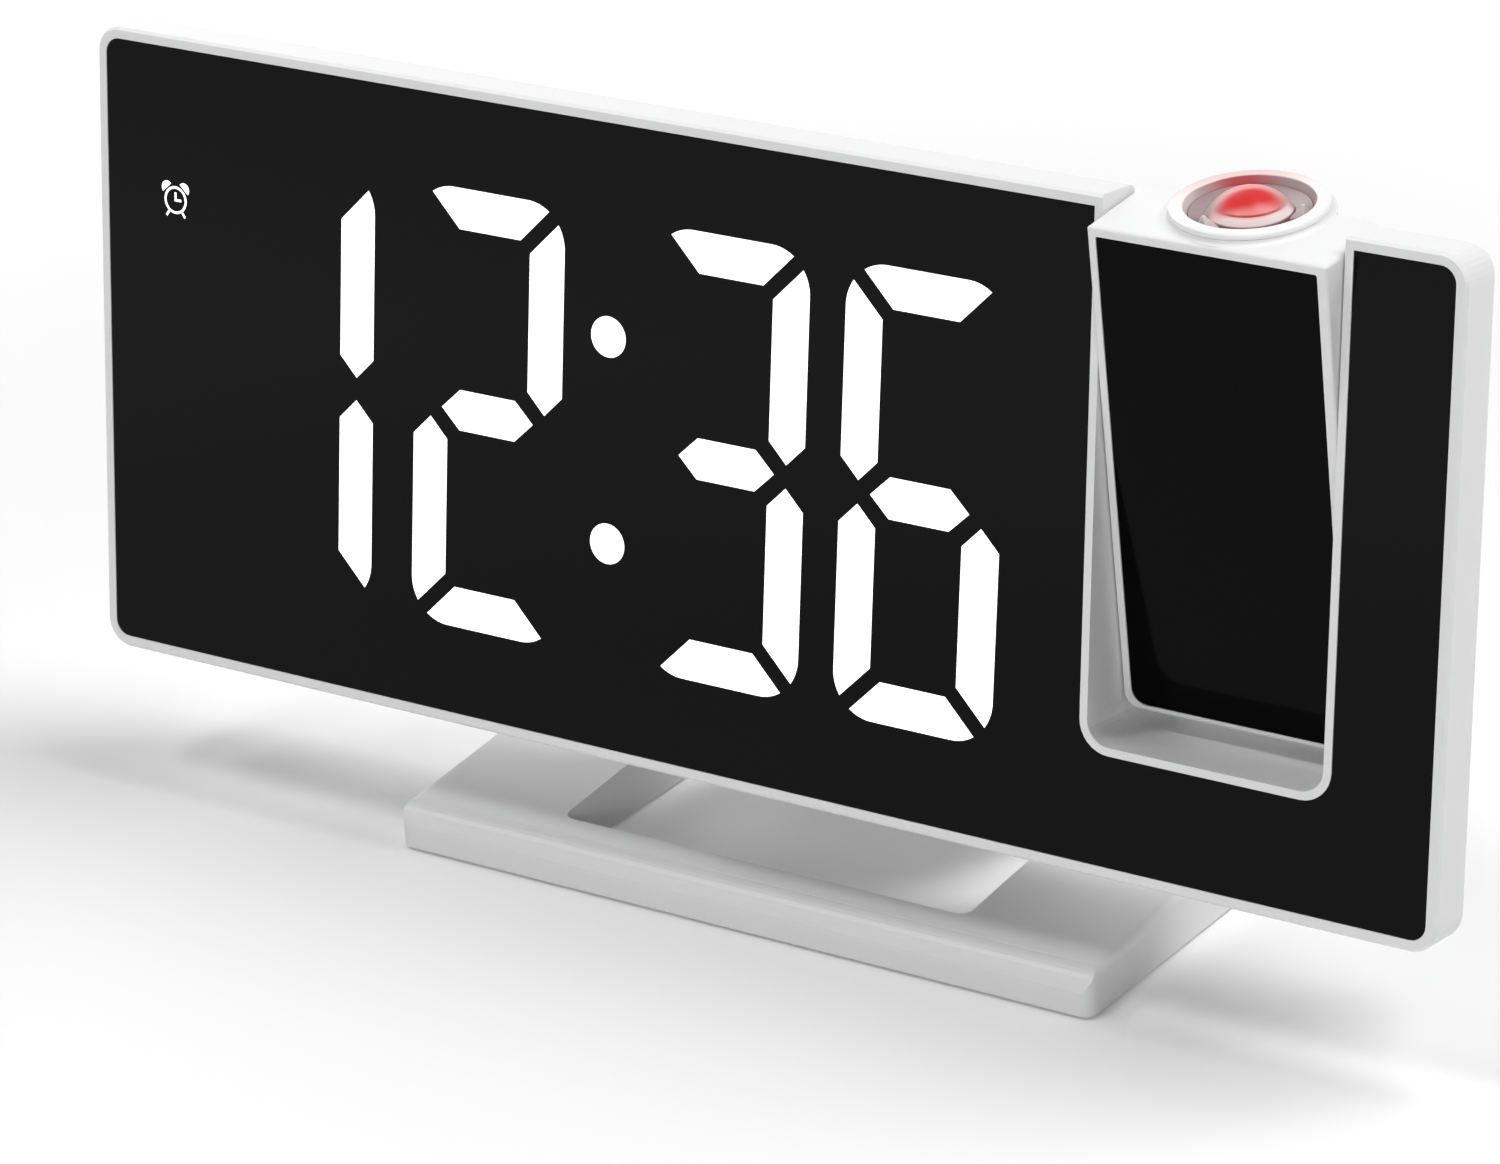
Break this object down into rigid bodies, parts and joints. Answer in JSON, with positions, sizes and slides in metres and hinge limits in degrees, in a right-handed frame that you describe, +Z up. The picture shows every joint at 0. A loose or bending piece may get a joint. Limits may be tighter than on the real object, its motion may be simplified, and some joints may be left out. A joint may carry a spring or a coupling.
{
  "type": "projection alarm clock",
  "caption": "White projection alarm clock with a leaning mirror display, lit figures, a tilting projector at its right end and a flat stand.",
  "frame": {"origin": "on the floor under the centre of the overall box", "axes": "+X along the display to the right as seen from the front, +Y to the back, +Z up"},
  "size_m": [0.19, 0.0544, 0.0989],
  "materials": {
    "white_case": "smooth moulded white",
    "white_buttons": "smooth moulded white",
    "white_projector": "smooth moulded white",
    "white_ring": "smooth moulded white",
    "lens_mount": "satin grey",
    "white_stand": "smooth moulded white",
    "mirror_glass": "polished, half mirrored",
    "black_window": "polished",
    "lit_white": "lit",
    "film": "diffusing",
    "black_plastic": "moulded black",
    "board_green": "solder mask",
    "led_body": "moulded",
    "led_red": "lit red",
    "steel": "plated",
    "speaker_black": "matt",
    "pad_rubber": "matt",
    "lens_red": "polished, lit red from behind",
    "lens_clear": "polished",
    "slide_glass": "polished"
  },
  "bodies": {
    "clock": {"front_frame": "white_case", "display_mirror": "mirror_glass", "display_digits": "lit_white", "alarm_indicator": "lit_white", "diffuser_film": "film", "segment_mask": "black_plastic", "led_board": "board_green", "segment_leds": "led_body", "rear_cover": "white_case", "case_screws": "steel", "main_board": "board_green", "board_chips": "black_plastic", "board_screws": "steel", "button_switches": "black_plastic", "snooze_switch": "black_plastic", "power_board": "board_green", "power_board_screws": "steel", "usb_socket": "steel", "power_socket": "black_plastic", "speaker": "speaker_black", "battery_contact": "steel", "coin_cell": "steel", "pivot_bushes": "steel", "stand_frame": "white_stand", "stand_base_plate": "white_stand", "stand_pads": "pad_rubber", "stand_screws": "steel"},
    "projector": {"projector_front_shell": "white_projector", "projector_rear_shell": "white_projector", "projector_window": "black_window", "pivot_pins": "steel", "lens_tube": "black_plastic", "image_slide": "slide_glass", "condenser_lens": "lens_clear", "projector_led_board": "board_green", "projector_led": "led_red", "projector_screws": "steel"},
    "focus_ring": {"focus_ring": "white_ring"},
    "projection_lens": {"lens_cell": "lens_mount", "lens_clips": "white_ring", "projection_lens": "lens_red"},
    "battery_lid": {"battery_lid": "white_case"},
    "set_button": {"set_button": "white_buttons"},
    "up_button": {"up_button": "white_buttons"},
    "down_button": {"down_button": "white_buttons"},
    "alarm_button": {"alarm_button": "white_buttons"},
    "projector_button": {"projector_button": "white_buttons"},
    "snooze_button": {"snooze_button": "white_buttons"}
  },
  "joints": [
    {"name": "projector_tilt", "type": "hinge", "parent": "clock", "child": "projector", "pos_m": [0.0647, -0.01123, 0.07609], "axis": [1, 0, 0], "range_deg": [-101.2, 78.8]},
    {"name": "focus_turn", "type": "hinge", "parent": "projector", "child": "focus_ring", "pos_m": [0.0647, -0.01025, 0.09613], "axis": [0, -0.061, 0.9981], "range_deg": [-60, 60]},
    {"name": "lens_travel", "type": "slide", "parent": "projector", "child": "projection_lens", "axis": [0, -0.061, 0.9981], "range_m": [-0.00075, 0.00075]},
    {"name": "lid_turn", "type": "hinge", "parent": "clock", "child": "battery_lid", "pos_m": [-0.042, -0.00279, 0.03771], "axis": [0, 0.991, -0.134], "range_deg": [0, 60]},
    {"name": "set_press", "type": "slide", "parent": "clock", "child": "set_button", "axis": [0, -0.991, 0.134], "range_m": [0, 0.0005], "stiffness_N_per_m": 2500, "springref_m": -0.0002},
    {"name": "up_press", "type": "slide", "parent": "clock", "child": "up_button", "axis": [0, -0.991, 0.134], "range_m": [0, 0.0005], "stiffness_N_per_m": 2500, "springref_m": -0.0002},
    {"name": "down_press", "type": "slide", "parent": "clock", "child": "down_button", "axis": [0, -0.991, 0.134], "range_m": [0, 0.0005], "stiffness_N_per_m": 2500, "springref_m": -0.0002},
    {"name": "alarm_press", "type": "slide", "parent": "clock", "child": "alarm_button", "axis": [0, -0.991, 0.134], "range_m": [0, 0.0005], "stiffness_N_per_m": 2500, "springref_m": -0.0002},
    {"name": "projector_press", "type": "slide", "parent": "clock", "child": "projector_button", "axis": [0, -0.991, 0.134], "range_m": [0, 0.0005], "stiffness_N_per_m": 2500, "springref_m": -0.0002},
    {"name": "snooze_press", "type": "slide", "parent": "clock", "child": "snooze_button", "axis": [0, -0.134, -0.991], "range_m": [0, 0.0006], "stiffness_N_per_m": 2500, "springref_m": -0.0002}
  ],
  "couplings": [
    {"joint": "focus_turn", "follows": "lens_travel", "rad_per_m": 1396}
  ]
}
